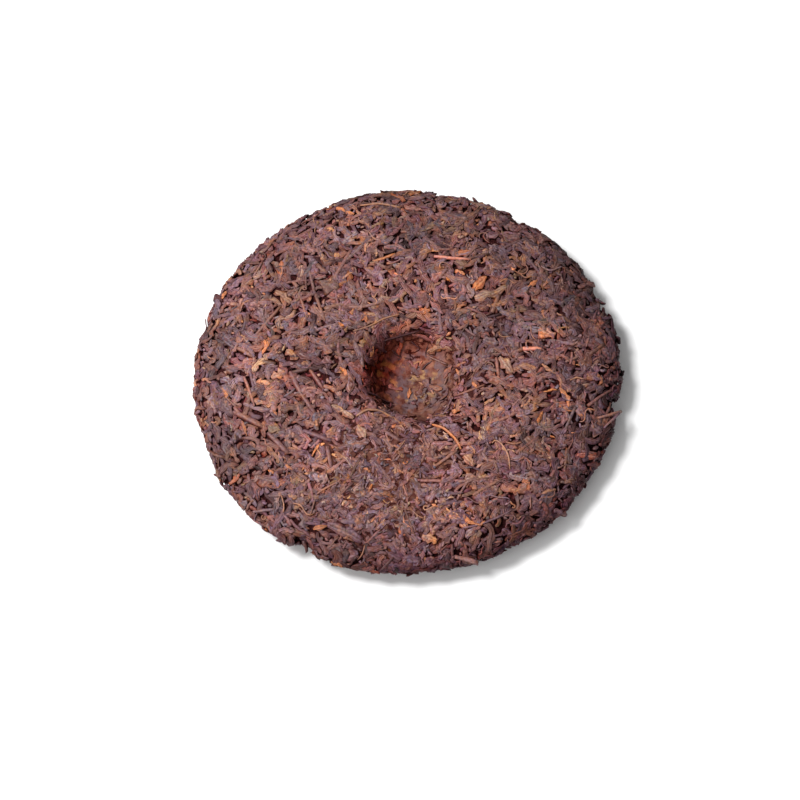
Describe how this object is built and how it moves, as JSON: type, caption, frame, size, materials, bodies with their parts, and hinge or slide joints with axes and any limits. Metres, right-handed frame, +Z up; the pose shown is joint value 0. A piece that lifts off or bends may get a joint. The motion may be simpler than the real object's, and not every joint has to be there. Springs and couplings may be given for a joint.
{
  "type": "pressed tea cake",
  "caption": "Round lens-shaped cake of pressed dark tea leaves and stems, lying on its smooth face, with a knot hollow in the middle of its back.",
  "frame": {"origin": "on the table under the cake's axis, in the flat spot of the smooth face it rests on", "axes": "+Z up through the cake's thickness and out of the hollow, +X to the viewer's right, +Y away from the viewer"},
  "size_m": [0.2036, 0.1998, 0.0249],
  "materials": {
    "pressed_tea": "dry, matt to faintly waxy, dark red-brown leaves with grey-brown tops, tan and orange flecks"
  },
  "bodies": {
    "root": {"tea_cake": "pressed_tea"}
  },
  "joints": []
}
